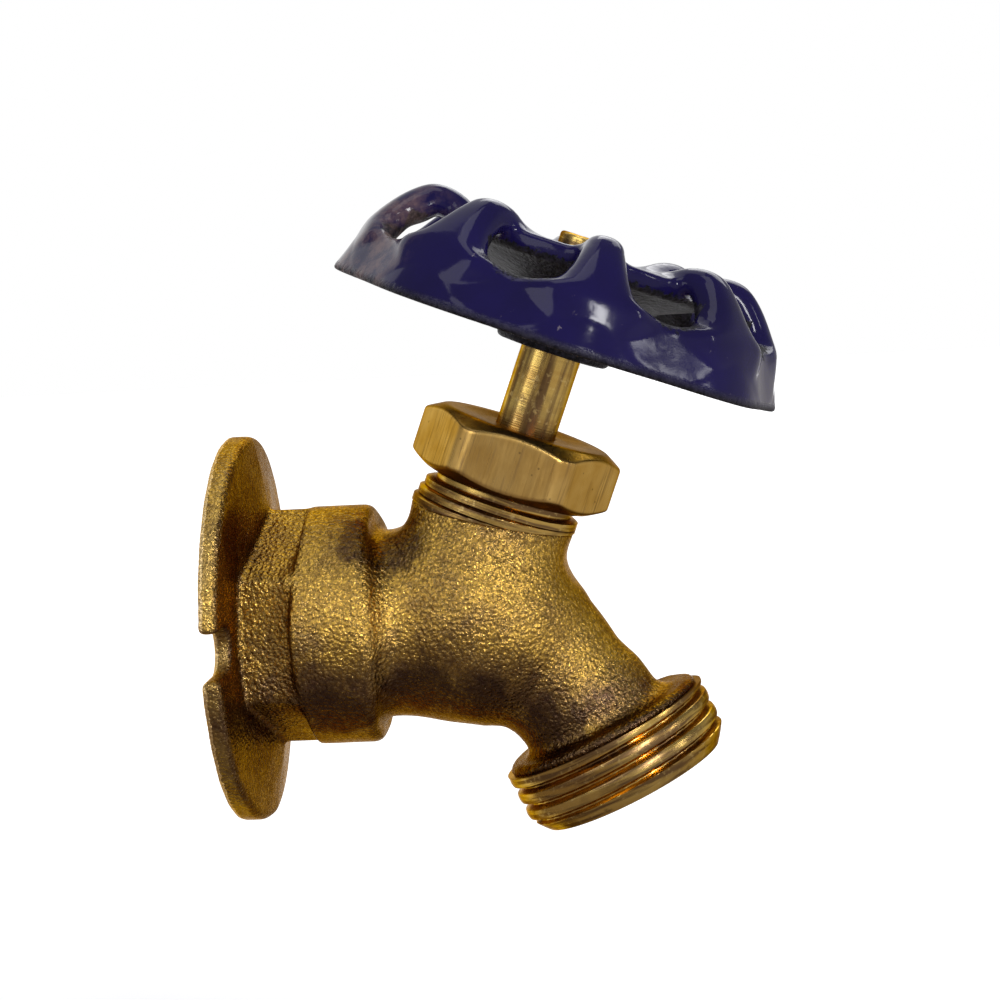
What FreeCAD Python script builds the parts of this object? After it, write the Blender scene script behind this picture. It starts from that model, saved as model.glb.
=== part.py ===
import FreeCAD, Part
import math
import os

V = FreeCAD.Vector

# wall flange and inlet hub, on the X axis; X = 0 is the wall face
FLANGE_R = 24.05
FLANGE_EDGE = 2.9
FLANGE_HUB = 4.5
FLANGE_CHAMFER = 0.5
FLANGE_ROUND = 0.8
HUB_FILLET = 1.6
SLOT_W = 5.4
SLOT_FLOOR = 16.2
HUB_R = 14.9
HUB_END = 18.1
HUB_ROUND = 1.8
FLAT_HALF = 12.9
FLAT_LOW = 4.9
FLAT_END = 9.9
INLET_R = 9.4
INLET_DEPTH = 13.5

# globe between hub, neck and outlet arm
TUBE_R = 11.8
TUBE_END = 29.1
GLOBE_X, GLOBE_Z, GLOBE_R = 30.1, 0.9, 13.0

# arm from the globe to the outlet: (x, z, radius, lean of the section from straight down)
ARM = [(29.8, 0.5, 11.9, 54), (38.7, -6.1, 9.0, 47), (42.9, -11.0, 8.75, 34), (45.5, -15.0, 9.0, 24.5)]

# spindle axis crosses the inlet axis here and leans away from the wall
STEM_X = 28.4
STEM_TILT = 21.3
NECK_R = 10.35
NECK_OFFSET = 0.6
RING_LOW = 12.6
RING_PITCH = 1.2
RING_EDGE = 0.3
RINGS = [10.8, 10.4, 9.95]
NECK_TOP = 20.6
NECK_THREAD_R = 9.45
NECK_RELIEF = 0.7
SEAT_R = 5.0
SEAT_TOP = 0.6
SEAT_RING_R = 6.0
SEAT_RING_H = 1.0
SEAT_BRIDGE = 2.0
CHAMBER_R = 8.0
CHAMBER_TOP = 6.4

# water's way under the seat and out of the globe into the arm
LOW_R = 8.6
LOW_START = 12.0
LOW_END = 29.5
PASSAGE_X, PASSAGE_Z, PASSAGE_R = 35.5, 3.6, 4.0

# outlet axis crosses the inlet axis here and leans away from the wall
OUT_X = 38.7
OUT_TILT = 24.5
HOSE_R = 13.49
HOSE_PITCH = 2.209
HOSE_CREST = 0.8
HOSE_DEPTH = 0.9
HOSE_GROOVES = 3
COLLAR_S = 14.6
COLLAR = [(8.4, -2.2), (9.6, -0.5), (12.1, 0.3), (12.9, 1.4)]
THREAD_S = 16.0
THREAD_END = 22.9
OUT_END = 23.7
OUT_END_R = 11.9
OUT_BORE_R = 9.4
OUT_BORE_S = 20.0
BELL_S, BELL_R = 14.0, 6.7

# running parts
RUN = 0.05
EDGE = 0.5
STEM_THREAD_R = 7.6
STEM_THREAD_LOW = 6.2
STEM_THREAD_TOP = 10.9
ROD_R = 3.8
SHANK_R = 4.6
WASHER_R = 5.9
WASHER_T = 3.2
WASHER_HOLE = 1.95
CUP_R = 6.7
CUP_DEPTH = 1.6
CUP_BACK = 1.2
SCREW_R = 1.7
SCREW_LENGTH = 4.6
SCREW_HEAD_R = 3.2
SCREW_HEAD_T = 1.8
SCREW_SLOT = 0.9
TANG_AF = 5.3
TANG_LOW = 36.0
TANG_TOP = 46.6
TANG_CORNER_R = 3.65
HANDLE_SCREW_R = 1.9
HANDLE_SCREW_L = 6.5
HANDLE_HEAD_R = 3.5
HANDLE_HEAD_T = 1.5

# packing under the nut
PACK_WASHER_T = 0.6
PACK_T = 1.8
GLAND_T = 0.7
PACK_R = 8.6
NUT_AF = 22.9
NUT_R = 12.7
NUT_LOW = 17.2
NUT_TOP = 25.2
NUT_END_R = 10.4
NUT_CONE = 30
NUT_TURN = 1.1

# handwheel, heights from this place on the spindle axis; it sits a little askew, front up
WHEEL_S = 36.9
WHEEL_LEAN = 1.3
LOBES = 8
WHEEL_TURN = 9.6
RIM_R = 28.35
SCALLOP = 0.65
SKIRT_LOW = -0.5
SKIRT_TOP = 6.2
SKIRT_T = 2.5
SKIRT_LEAN = 2.6
WEB_INSET = 11.15
WEB_R = RIM_R - WEB_INSET
WEB_TOP = 11.2
SCREW_SEAT = 11.1
WEB_LOW = 8.6
WEB_EDGE = 0.6
CONE_LOW = 5.0
BOSS_R = 7.3
BOSS_LOW = -2.0

# top line of one finger: (distance in from RIM_R, height, depth, half width), from the rim to the web
FINGER = [(0.6, 1.2, 2.4, 3.9), (1.2, 4.4, 3.8, 3.4), (2.35, 7.6, 4.6, 2.9),
          (5.15, 11.2, 4.6, 2.55), (8.2, 13.3, 4.2, 2.45), (11.8, 13.2, 3.8, 2.45),
          (16.1, 11.2, 2.4, 2.35)]
FINGER_SIDES = 8


def seated(shape):
    """Place a shape drawn along +Z onto the spindle axis."""
    shape.rotate(V(0, 0, 0), V(0, 1, 0), STEM_TILT)
    shape.translate(V(STEM_X, 0, 0))
    return shape


def spouted(shape):
    """Place a shape drawn along +Z onto the outlet axis."""
    shape.rotate(V(0, 0, 0), V(0, 1, 0), 180 - OUT_TILT)
    shape.translate(V(OUT_X, 0, 0))
    return shape


def revolve(points, axis=V(0, 0, 1)):
    """Solid of revolution from (radius, along) pairs closed on the axis."""
    if axis.z:
        pts = [V(r, 0, z) for r, z in points]
    else:
        pts = [V(z, 0, r) for r, z in points]
    face = Part.Face(Part.makePolygon(pts + [pts[0]]))
    return face.revolve(V(0, 0, 0), axis, 360)


def cylinder(radius, low, high):
    """Cylinder on the Z axis between two heights."""
    return Part.makeCylinder(radius, high - low, V(0, 0, low))


def tube(outer, inner, low, high):
    """Ring between two radii."""
    return cylinder(outer, low, high).cut(cylinder(inner, low - 1, high + 1))


def arc_points(cr, cz, radius, start, end):
    """Points of a rounded edge in (radius, along) pairs."""
    out = []
    for share in (0, 0.5, 1):
        a = math.radians(start + (end - start) * share)
        out.append((cr + radius * math.cos(a), cz + radius * math.sin(a)))
    return out


def ball(x, z, radius):
    """Sphere with its centre in the symmetry plane."""
    return Part.makeSphere(radius, V(x, 0, z))


def arm():
    """Arm that bends and narrows from the globe to the outlet's collar."""
    wires = []
    for x, z, radius, lean in ARM:
        a = math.radians(lean)
        wires.append(Part.Wire(Part.makeCircle(radius, V(x, 0, z), V(math.sin(a), 0, -math.cos(a)))))
    return Part.makeLoft(wires, True, False)


def wrench_flat(k):
    """Cutter for one of the six flats at the flange end of the hub."""
    flat = Part.makeBox(FLAT_END - FLAT_LOW, 2 * HUB_R, HUB_R, V(FLAT_LOW, -HUB_R, FLAT_HALF))
    flat.rotate(V(0, 0, 0), V(1, 0, 0), 60 * k + 30)
    return flat.common(Part.makeCylinder(HUB_R + 1, 2 * HUB_END, V(0, 0, 0), V(1, 0, 0)))


def screw_slot(side):
    """Cutter for an open-ended slot in the flange's rim."""
    depth = FLANGE_HUB + 2
    mid = side * (SLOT_FLOOR + SLOT_W / 2)
    end = side * (FLANGE_R + 2)
    slot = Part.makeCylinder(SLOT_W / 2, depth, V(-1, mid, 0), V(1, 0, 0))
    return slot.fuse(Part.makeBox(depth, abs(end - mid), SLOT_W, V(-1, min(mid, end), -SLOT_W / 2)))


def hub():
    """Flange and inlet hub with six wrench flats and two screw slots."""
    pts = [(0, 0), (FLANGE_R - FLANGE_CHAMFER, 0), (FLANGE_R, FLANGE_CHAMFER)]
    pts += arc_points(FLANGE_R - FLANGE_ROUND, FLANGE_EDGE - FLANGE_ROUND, FLANGE_ROUND, 0, 80)
    pts += arc_points(HUB_R + HUB_FILLET, FLANGE_HUB + HUB_FILLET, HUB_FILLET, 270, 180)
    pts += arc_points(HUB_R - HUB_ROUND, HUB_END - HUB_ROUND, HUB_ROUND, 0, 90)
    pts += [(0, HUB_END)]
    shape = revolve(pts, V(1, 0, 0))
    for k in range(6):
        shape = shape.cut(wrench_flat(k))
    for side in (-1, 1):
        shape = shape.cut(screw_slot(side))
    return shape


def neck():
    """Cast neck, a little off the spindle axis, turned to three rings and the nut's thread."""
    wide = NECK_R + 2
    pts = [(0, 0), (wide, 0), (wide, RING_LOW)]
    low = RING_LOW
    for r in RINGS:
        pts += [(r, low), (r, low + RING_PITCH - RING_EDGE)]
        low += RING_PITCH
    relief = NECK_THREAD_R - NECK_RELIEF
    pts += [(relief, low), (relief, low + NECK_RELIEF), (NECK_THREAD_R, low + 2 * NECK_RELIEF)]
    pts += [(NECK_THREAD_R, NECK_TOP - EDGE), (NECK_THREAD_R - EDGE, NECK_TOP), (0, NECK_TOP)]
    cast = Part.makeCylinder(NECK_R, NECK_TOP + 1, V(-NECK_OFFSET, 0, 0))
    return seated(revolve(pts).common(cast))


def outlet():
    """Outlet collar and the hose thread, its turns as rings."""
    r, low = COLLAR[0]
    pts = [(0, COLLAR_S + low)] + [(r, COLLAR_S + s) for r, s in COLLAR]
    pts += [(HOSE_R, THREAD_S)]
    for k in range(HOSE_GROOVES):
        crest = THREAD_S + k * HOSE_PITCH + HOSE_CREST
        root = crest + (HOSE_PITCH - HOSE_CREST) / 2
        pts += [(HOSE_R, crest), (HOSE_R - HOSE_DEPTH, root)]
        pts += [(HOSE_R, THREAD_S + (k + 1) * HOSE_PITCH)]
    pts += [(HOSE_R, THREAD_END), (OUT_END_R, OUT_END), (0, OUT_END)]
    return spouted(revolve(pts))


def under_seat(shape):
    """Keep the part of a shape that lies under the seat's bridge."""
    size = 4 * GLOBE_R
    top = SEAT_TOP - SEAT_RING_H - SEAT_BRIDGE
    return shape.common(seated(Part.makeBox(2 * size, 2 * size, size, V(-size, -size, top - size))))


def upper_chamber():
    """Room over the seat, the seat's hole and the neck's bore."""
    floor = SEAT_TOP - SEAT_RING_H
    shape = tube(CHAMBER_R, SEAT_RING_R, floor, SEAT_TOP)
    shape = shape.fuse(cylinder(CHAMBER_R, SEAT_TOP, CHAMBER_TOP))
    shape = shape.fuse(cylinder(STEM_THREAD_R + RUN, CHAMBER_TOP - 1, NECK_TOP + 1))
    return seated(shape.fuse(cylinder(SEAT_R, floor - 3 * SEAT_BRIDGE, SEAT_TOP + RUN)))


def waterway():
    """The hollows of the body, from the inlet to the outlet."""
    along = V(1, 0, 0)
    inlet = Part.makeCylinder(INLET_R, INLET_DEPTH + 1, V(-1, 0, 0), along)
    low = Part.makeCylinder(LOW_R, LOW_END - LOW_START, V(LOW_START, 0, 0), along)
    low = under_seat(low)
    front = Part.makeCylinder(LOW_R, HUB_END - LOW_START, V(LOW_START, 0, 0), along)
    bell = revolve([(0, BELL_S), (BELL_R, BELL_S), (OUT_BORE_R, OUT_BORE_S), (OUT_BORE_R, OUT_END + 1),
                    (0, OUT_END + 1)])
    a = math.radians(OUT_TILT)
    start = V(PASSAGE_X, 0, PASSAGE_Z)
    run = V(OUT_X + (BELL_S + 1) * math.sin(a), 0, -(BELL_S + 1) * math.cos(a)) - start
    passage = Part.makeCone(PASSAGE_R, BELL_R, run.Length, start, run)
    return [inlet, front, low, upper_chamber(), passage, spouted(bell)]


def body():
    """Cast body: flange, hub, globe, neck, arm and outlet in one piece."""
    shape = hub()
    tail = Part.makeCylinder(TUBE_R, TUBE_END - HUB_END + 2, V(HUB_END - 2, 0, 0), V(1, 0, 0))
    for piece in (tail, ball(GLOBE_X, GLOBE_Z, GLOBE_R), neck(), arm(), outlet()):
        shape = shape.fuse(piece)
    for void in waterway():
        shape = shape.cut(void)
    return shape.removeSplitter()


def square_bar(across, low, high):
    """Square bar on the Z axis, turned as the wheel is."""
    bar = Part.makeBox(across, across, high - low, V(-across / 2, -across / 2, low))
    bar.rotate(V(0, 0, 0), V(0, 0, 1), WHEEL_TURN)
    return bar


def stem():
    """Spindle with washer cup, thread, rod, square tang and both screw holes."""
    cup = SEAT_TOP + WASHER_T
    lip = cup - CUP_DEPTH
    pts = [(0, lip), (CUP_R, lip), (CUP_R, cup + CUP_BACK), (SHANK_R, cup + CUP_BACK + EDGE),
           (SHANK_R, STEM_THREAD_LOW), (STEM_THREAD_R, STEM_THREAD_LOW), (STEM_THREAD_R, STEM_THREAD_TOP),
           (ROD_R, STEM_THREAD_TOP + EDGE), (ROD_R, TANG_LOW), (0, TANG_LOW)]
    shape = revolve(pts).cut(cylinder(WASHER_R + RUN, lip - 1, cup))
    tang = square_bar(TANG_AF, TANG_LOW - EDGE, TANG_TOP)
    shape = shape.fuse(tang.common(cylinder(TANG_CORNER_R, 0, TANG_TOP)))
    shape = shape.cut(cylinder(SCREW_R + RUN, lip, cup + SCREW_LENGTH + EDGE))
    shape = shape.cut(cylinder(HANDLE_SCREW_R + RUN, TANG_TOP - HANDLE_SCREW_L - EDGE, TANG_TOP + 1))
    return seated(shape)


def seat_washer():
    """Flat rubber washer in the spindle's cup."""
    return seated(tube(WASHER_R, WASHER_HOLE, SEAT_TOP, SEAT_TOP + WASHER_T))


def slotted(shape, top, depth):
    """Cut a screwdriver slot into a head, down from its face or up where depth is negative."""
    low = min(top, top - depth)
    wide = 2 * HANDLE_HEAD_R + 2
    return shape.cut(Part.makeBox(wide, SCREW_SLOT, abs(depth), V(-wide / 2, -SCREW_SLOT / 2, low)))


def seat_screw():
    """Screw that holds the washer, head down in the seat's hole."""
    face = SEAT_TOP - SCREW_HEAD_T
    end = SEAT_TOP + WASHER_T + SCREW_LENGTH
    pts = [(0, face), (SCREW_HEAD_R, face), (SCREW_HEAD_R, SEAT_TOP), (SCREW_R, SEAT_TOP),
           (SCREW_R, end - EDGE), (0, end)]
    return seated(slotted(revolve(pts), face, -SCREW_SLOT))


def packing_washer():
    """Thin brass washer on the neck's end."""
    return seated(tube(PACK_R, ROD_R + RUN, NECK_TOP, NECK_TOP + PACK_WASHER_T))


def stem_packing():
    """Rubber packing ring round the rod."""
    low = NECK_TOP + PACK_WASHER_T
    return seated(tube(PACK_R, ROD_R + RUN, low, low + PACK_T))


def gland():
    """Friction ring between the packing and the nut."""
    low = NECK_TOP + PACK_WASHER_T + PACK_T
    return seated(tube(PACK_R, ROD_R + RUN, low, low + GLAND_T))


def packing_nut():
    """Six-sided nut with cone-turned ends and truncated corners."""
    side = NUT_AF / math.sqrt(3)
    pts = []
    for k in range(7):
        a = math.radians(60 * k + NUT_TURN)
        pts.append(V(side * math.cos(a), side * math.sin(a), NUT_LOW))
    shape = Part.Face(Part.makePolygon(pts)).extrude(V(0, 0, NUT_TOP - NUT_LOW))
    cone = (NUT_R - NUT_END_R) * math.tan(math.radians(NUT_CONE))
    shape = shape.common(revolve([(0, NUT_LOW), (NUT_END_R, NUT_LOW), (NUT_R, NUT_LOW + cone),
                                  (NUT_R, NUT_TOP - cone), (NUT_END_R, NUT_TOP), (0, NUT_TOP)]))
    bore = NECK_THREAD_R + RUN
    room = PACK_R + RUN
    ceiling = NECK_TOP + PACK_WASHER_T + PACK_T + GLAND_T
    shape = shape.cut(revolve([(0, NUT_LOW - 1), (bore, NUT_LOW - 1), (bore, NECK_TOP),
                               (room, NECK_TOP + EDGE), (room, ceiling), (0, ceiling)]))
    return seated(shape.cut(cylinder(ROD_R + RUN, ceiling - 1, NUT_TOP + 1)))


def scallop_wire(radius, height):
    """Closed smooth curve with one wave per lobe."""
    count = LOBES * 4
    pts = []
    for i in range(count):
        a = 2 * math.pi * i / count
        r = radius + SCALLOP * math.cos(LOBES * a)
        pts.append(V(r * math.cos(a), r * math.sin(a), height))
    curve = Part.BSplineCurve()
    curve.interpolate(Points=pts, PeriodicFlag=True)
    return Part.Wire(curve.toShape())


def skirt():
    """Leaning, scalloped rim band of the handwheel."""
    outer = [scallop_wire(RIM_R, SKIRT_LOW), scallop_wire(RIM_R - SKIRT_LEAN, SKIRT_TOP)]
    inner = Part.makeCone(RIM_R - SKIRT_T, RIM_R - SKIRT_T - SKIRT_LEAN, SKIRT_TOP - SKIRT_LOW,
                          V(0, 0, SKIRT_LOW))
    return Part.makeLoft(outer, True, True).cut(inner)


def finger(k):
    """One arched finger from the rim band over to the web, turned to its place."""
    wires = []
    last = len(FINGER) - 1
    for i, (inset, h, depth, half_width) in enumerate(FINGER):
        r = RIM_R - inset
        inset0, h0 = FINGER[max(i - 1, 0)][:2]
        inset1, h1 = FINGER[min(i + 1, last)][:2]
        run = V(inset0 - inset1, 0, h1 - h0).normalize()
        out = V(run.z, 0, -run.x)
        pts = []
        for j in range(FINGER_SIDES):
            t = 2 * math.pi * (j + 0.5) / FINGER_SIDES
            across = half_width * math.cos(t) / math.cos(math.pi / FINGER_SIDES)
            up = depth / 2 * math.sin(t) / math.cos(math.pi / FINGER_SIDES)
            pts.append(V(r, across, h) + out * (up - depth / 2))
        wires.append(Part.makePolygon(pts + [pts[0]]))
    shape = Part.makeLoft(wires, True, False)
    shape.rotate(V(0, 0, 0), V(0, 0, 1), 360.0 * k / LOBES)
    return shape


def web():
    """Disc under the screw, its cone and the boss round the tang."""
    return revolve([(0, BOSS_LOW), (BOSS_R - EDGE, BOSS_LOW), (BOSS_R, BOSS_LOW + EDGE),
                    (BOSS_R, CONE_LOW), (WEB_R - WEB_EDGE, WEB_LOW), (WEB_R, WEB_LOW + WEB_EDGE),
                    (WEB_R, WEB_TOP - WEB_EDGE), (WEB_R - WEB_EDGE, WEB_TOP), (0, WEB_TOP)])


def handwheel():
    """Cast wheel: scalloped rim, eight arched fingers, web and boss."""
    shape = skirt().fuse([web()] + [finger(k) for k in range(LOBES)])
    shape.rotate(V(0, 0, 0), V(0, 0, 1), WHEEL_TURN - 90)
    shape.rotate(V(0, 0, CONE_LOW), V(1, 0, 0), -WHEEL_LEAN)
    shape.translate(V(0, 0, WHEEL_S))
    seat = WHEEL_S + SCREW_SEAT
    hole = square_bar(TANG_AF + 2 * RUN, TANG_LOW, TANG_TOP + EDGE)
    hole = hole.fuse(cylinder(ROD_R + RUN, WHEEL_S + BOSS_LOW - 1, TANG_LOW + RUN))
    hole = hole.fuse(cylinder(HANDLE_SCREW_R + RUN, TANG_LOW, seat + 1))
    hole = hole.fuse(cylinder(HANDLE_HEAD_R + EDGE, seat, seat + HANDLE_HEAD_T))
    return seated(shape.cut(hole).removeSplitter())


def handle_screw():
    """Slotted flat-headed screw that clamps the wheel on the spindle."""
    low = WHEEL_S + SCREW_SEAT
    top = low + HANDLE_HEAD_T
    end = TANG_TOP - HANDLE_SCREW_L
    pts = [(0, end), (HANDLE_SCREW_R, end + EDGE), (HANDLE_SCREW_R, low), (HANDLE_HEAD_R, low),
           (HANDLE_HEAD_R, top - EDGE), (HANDLE_HEAD_R - EDGE, top), (0, top)]
    return seated(slotted(revolve(pts), top, SCREW_SLOT))


def main():
    os.makedirs("parts", exist_ok=True)
    for make in (body, stem, seat_washer, seat_screw, packing_nut, packing_washer, stem_packing,
                 gland, handwheel, handle_screw):
        name = make.__name__
        shape = make()
        if len(shape.Solids) != 1 or not shape.isValid():
            raise RuntimeError("%s is not one valid solid: %d" % (name, len(shape.Solids)))
        shape = shape.Solids[0]
        shape.exportStep("parts/%s.step" % name)
        size = shape.BoundBox
        print("%-15s %8.1f mm3, %5.1f x %5.1f x %5.1f mm" % (
            name, shape.Volume, size.XLength, size.YLength, size.ZLength))


main()
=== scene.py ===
import math

import bpy
import numpy as np
from mathutils import Matrix, Vector


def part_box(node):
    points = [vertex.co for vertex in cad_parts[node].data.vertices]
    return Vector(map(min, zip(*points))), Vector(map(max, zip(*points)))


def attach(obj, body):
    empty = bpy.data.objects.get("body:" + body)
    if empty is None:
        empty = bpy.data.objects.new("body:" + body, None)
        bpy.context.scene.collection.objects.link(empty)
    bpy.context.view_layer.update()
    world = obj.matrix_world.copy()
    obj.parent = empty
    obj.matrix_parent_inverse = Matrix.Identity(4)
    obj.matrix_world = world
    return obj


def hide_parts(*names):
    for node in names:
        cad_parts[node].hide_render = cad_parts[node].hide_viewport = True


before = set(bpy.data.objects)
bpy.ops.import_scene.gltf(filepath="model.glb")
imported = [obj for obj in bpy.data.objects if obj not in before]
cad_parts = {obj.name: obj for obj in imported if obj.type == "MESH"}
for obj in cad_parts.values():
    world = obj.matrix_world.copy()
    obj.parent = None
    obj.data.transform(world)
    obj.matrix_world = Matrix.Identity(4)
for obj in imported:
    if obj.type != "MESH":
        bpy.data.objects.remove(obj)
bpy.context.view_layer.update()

MM = 0.001
# cell sizes of the fine meshes, in millimetres
STEP_BODY = 0.36
STEP_WHEEL = 0.34
STEP_FINE = 0.2

# sizes in millimetres, as in the CAD source; X = 0 is the wall face
CLEAR = 0.05

# flange: its front is drafted, and hollowed beside the hub's flats
FLANGE_R, FLANGE_EDGE, FLANGE_HUB, FLANGE_ROUND = 24.05, 2.9, 4.5, 1.1
FLANGE_DRAFT, DRAFT_LEVEL, FLANGE_HOLLOW = 0.9, 0.4, 2.0
SLOT_W, SLOT_FLOOR, SLOT_ROUND = 5.4, 16.2, 0.9

# hub and its six flats
HUB_R, HUB_END, HUB_ROUND, HUB_FILLET = 14.9, 18.1, 1.5, 0.7
FLAT_HALF, FLAT_LOW, FLAT_END = 12.9, 1.2, 9.9

# tube, globe and arm; a ball is (x, z, radius) in the symmetry plane
TUBE_R, TUBE_FROM, TUBE_TO = 11.8, 12.0, 29.0
GLOBE, GLOBE_FILLET = (30.1, 0.9, 13.0), 3.0
ARM = [(29.8, 0.5, 11.9), (38.7, -6.1, 9.0), (42.9, -11.0, 8.75), (45.5, -15.0, 9.0)]
ARM_FILLETS = (4.0, 0.8, 0.8)
# fillet between hub and globe, and what it gains at the sides
WAIST_FILLET, WAIST_SIDE = 1.4, 6.0

# soft dents as (x, z), reach and depth: beyond the neck's foot, between hub and neck, along the arm
DENTS = [((42.7, 6.2), 2.8, 1.1), ((21.2, 13.0), 2.4, 1.15), ((48.5, -3.0), 4.5, 0.3)]
DENT_WIDE = 2.2
# unevenness of a casting: its depth, and the rates and starts of its three waves
CAST_UNEVEN, CAST_WAVES = 0.05, ((0.9, 0.8, 0.85), (0.5, 1.1, 0.0))
WHEEL_UNEVEN, WHEEL_WAVES = 0.03, ((0.7, 0.6, 0.8), (1.0, 0.0, 0.4))

# waterway: inlet, lower and upper chambers with the seat between them, arm and bell
INLET_R, INLET_DEPTH = 9.4, 13.5
PIPE_PITCH, PIPE_DEPTH = 1.814, 1.0
ROOM_R, ROOM_END, ROOM_TOP = 8.6, 29.5, -2.4
UPPER_R, UPPER_LOW, UPPER_TOP = 8.0, 0.6, 6.4
SEAT_R, SEAT_LOW, SEAT_TOP = 5.0, -6.4, 0.7
PASSAGE = (35.5, 3.6, 4.0), (44.9, -13.6, 6.6)
BELL_S, THROAT_R = (14.0, 20.0), 6.7

# neck: three turned rings, which the cast skin climbs over towards +X, and a thread
STEM_X, STEM_TILT = 28.4, math.radians(21.3)
NECK_R, NECK_OFFSET, NECK_FILLET = 10.35, 0.6, 3.6
RING_LOW, RING_PITCH, RING_GROOVE = 12.6, 1.2, 0.8
RINGS = [10.8, 10.4, 9.95]
SKIN_CLIMB, SKIN_FROM = 0.115, -8
NECK_TOP, NECK_BORE, BORE_LOW = 20.6, 7.65, 5.4
NECK_THREAD_R, NECK_THREAD_PITCH, NECK_THREAD_DEPTH = 9.45, 1.27, 0.7

# outlet: collar, hose thread and bell
OUT_X, OUT_TILT = 38.7, math.radians(24.5)
COLLAR_R, COLLAR_S, COLLAR_ROUND, COLLAR_FILLET = 12.9, 14.6, 1.3, 1.9
HOSE_R, THREAD_S, OUT_END, OUT_BORE_R = 13.49, 16.0, 23.7, 9.4
HOSE_PITCH, HOSE_DEPTH, HOSE_CREST = 2.209, 1.05, 0.56
# how deep a thread's crest is rounded, where its flank meets the root and how it curves
CROWN, FLANK_END, FLANK_CURVE = 0.11, 0.93, 1.1
THREAD_SHARP = 40

# spindle and packing nut
ROD_R = 3.8
TANG_AF, TANG_TOP = 5.3, 46.6
NUT_AF, NUT_R, NUT_LOW, NUT_TOP, NUT_END_R = 22.9, 12.7, 17.2, 25.2, 10.4
NUT_TURN, NUT_CHAMFER = math.radians(1.1), math.radians(30)
NUT_THREAD_TOP, NUT_ROOM_R, NUT_ROOM_TOP = 21.1, 8.65, 23.7
DISH, DISH_R, DISH_WIDE = 0.35, 8.5, 3.0

# handwheel, in heights above WHEEL_S on the spindle; azimuths are from the front towards +X
WHEEL_S, LOBES, WHEEL_TURN, WHEEL_LEAN = 36.9, 8, math.radians(9.6), math.radians(1.3)
RIM_R, SCALLOP = 28.35, 0.65
SKIRT_LOW, SKIRT_TOP, SKIRT_T, SKIRT_LEAN = -0.5, 6.2, 2.5, 2.6
WEB_R, WEB_TOP, WEB_LOW, WEB_ROUND, WEB_BLEND = RIM_R - 11.15, 11.2, 8.6, 0.9, 1.2
CONE_LOW, CONE_INSET = 5.0, 0.6
BOSS_R, BOSS_LOW = 7.3, -2.0
# the cosine of a leaning wall, which makes its distance a true one
WALL_SLOPE, SHELL_SLOPE = 0.93, 0.85
# what the casting is smaller by, all round and in its reach, to stay inside the CAD's box
WHEEL_SHRINK, REACH_SHRINK = 0.10, 0.06
# the two lobes behind on the left are cast lower, from a height on and over a height
SUNK_AT, SUNK_DEPTH, SUNK_FROM, SUNK_OVER = math.radians(-150), 0.9, 4.0, 6.0
# the fingers in front are broader in a band of heights, and their fillets are larger
BROAD, BROAD_BAND, FRONT_FILLET = 0.42, (2.0, 5.0, 8.5, 12.0), 0.35
# fillet between a finger and the skirt at two heights
FILLET_AT, FILLETS = (3.0, 6.5), (0.5, 2.4)
# on the left the wall is lower, and the fingers are carved inside at a (radius, height)
DIP_AT, DIP_DEPTH = math.radians(-92), 1.2
CARVE_DEPTH, CARVE_AT, CARVE_REACH = 0.7, (21.6, 6.5), (1.6, 2.6)
# slope of the lobes' shoulders between the fingers
SHOULDER = 0.4
# middle of a finger from the skirt to the web: inset from the rim, height, depth, half width
FINGER = [(0.6, 1.2, 2.4, 3.9), (1.2, 4.4, 3.8, 3.4), (2.35, 7.6, 4.6, 2.9),
          (5.15, 11.2, 4.6, 2.55), (8.2, 13.3, 4.2, 2.45), (11.8, 13.2, 3.8, 2.45),
          (16.1, 11.2, 2.4, 2.35)]
# exponent of a finger's section, where 2 is an ellipse
SQUARENESS = 2.3

# screw on the wheel; its slot runs across the direction in SCREW_ACROSS
SCREW_SEAT = 11.1
HEAD_R, HEAD_T, HEAD_CROWN, HEAD_ROOM = 3.5, 1.5, 0.15, 0.5
SCREW_SLOT, SCREW_ACROSS = 0.9, (0.866, 0.5)
SHANK_R, SHANK_DEEP, SHANK_HOLE_R = 1.85, 6.0, 1.95

# camera fitted to the photograph: focal length in picture widths, place in millimetres
FOCAL = 2.4
SENSOR = 36.0
CAMERA = (62.456, -294.737, 43.178)
YAW, PITCH, ROLL = 0.097, 0.096, -0.055

# studio in metres and degrees; turns are from the front, positive towards +X
MIDDLE = (0.035, 0.0, 0.01)
FLOOR, FLOOR_HALF = -0.1, 3.0
# a lamp is name, turn, rise, distance, width and height, power in watts
LAMPS = [("key", 31, 17, 0.72, (0.07, 0.26), 2.1),
         ("pane_low", 73, 11, 0.60, (0.05, 0.08), 0.13),
         ("pane_high", 73, 21, 0.60, (0.05, 0.08), 0.13),
         ("fill", -35, 28, 0.75, (0.5, 0.4), 1.35),
         ("top", 20, 80, 0.60, (0.3, 0.3), 0.5),
         ("back", 160, 40, 0.60, (0.4, 0.3), 0.9)]
ROOM_TONE, ROOM_STRENGTH = (0.95, 0.95, 1.0, 1), 0.4
TENT_FROM, TENT_TO, TENT_R, TENT_LIFT = -115, 162, 0.9, 0.004
# the tent's brightness over its height, from the floor to its top, and low on the right
TENT_TONES = [(0.0, (0.22, 0.18, 0.165)), (0.04, (0.28, 0.24, 0.22)), (0.1, (0.42, 0.40, 0.38)),
              (0.3, (0.46, 0.45, 0.44)), (0.5, (0.24, 0.24, 0.25)), (1.0, (0.22, 0.22, 0.24))]
TENT_LOW_RIGHT = (0.58, 0.56, 0.55)

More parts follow.
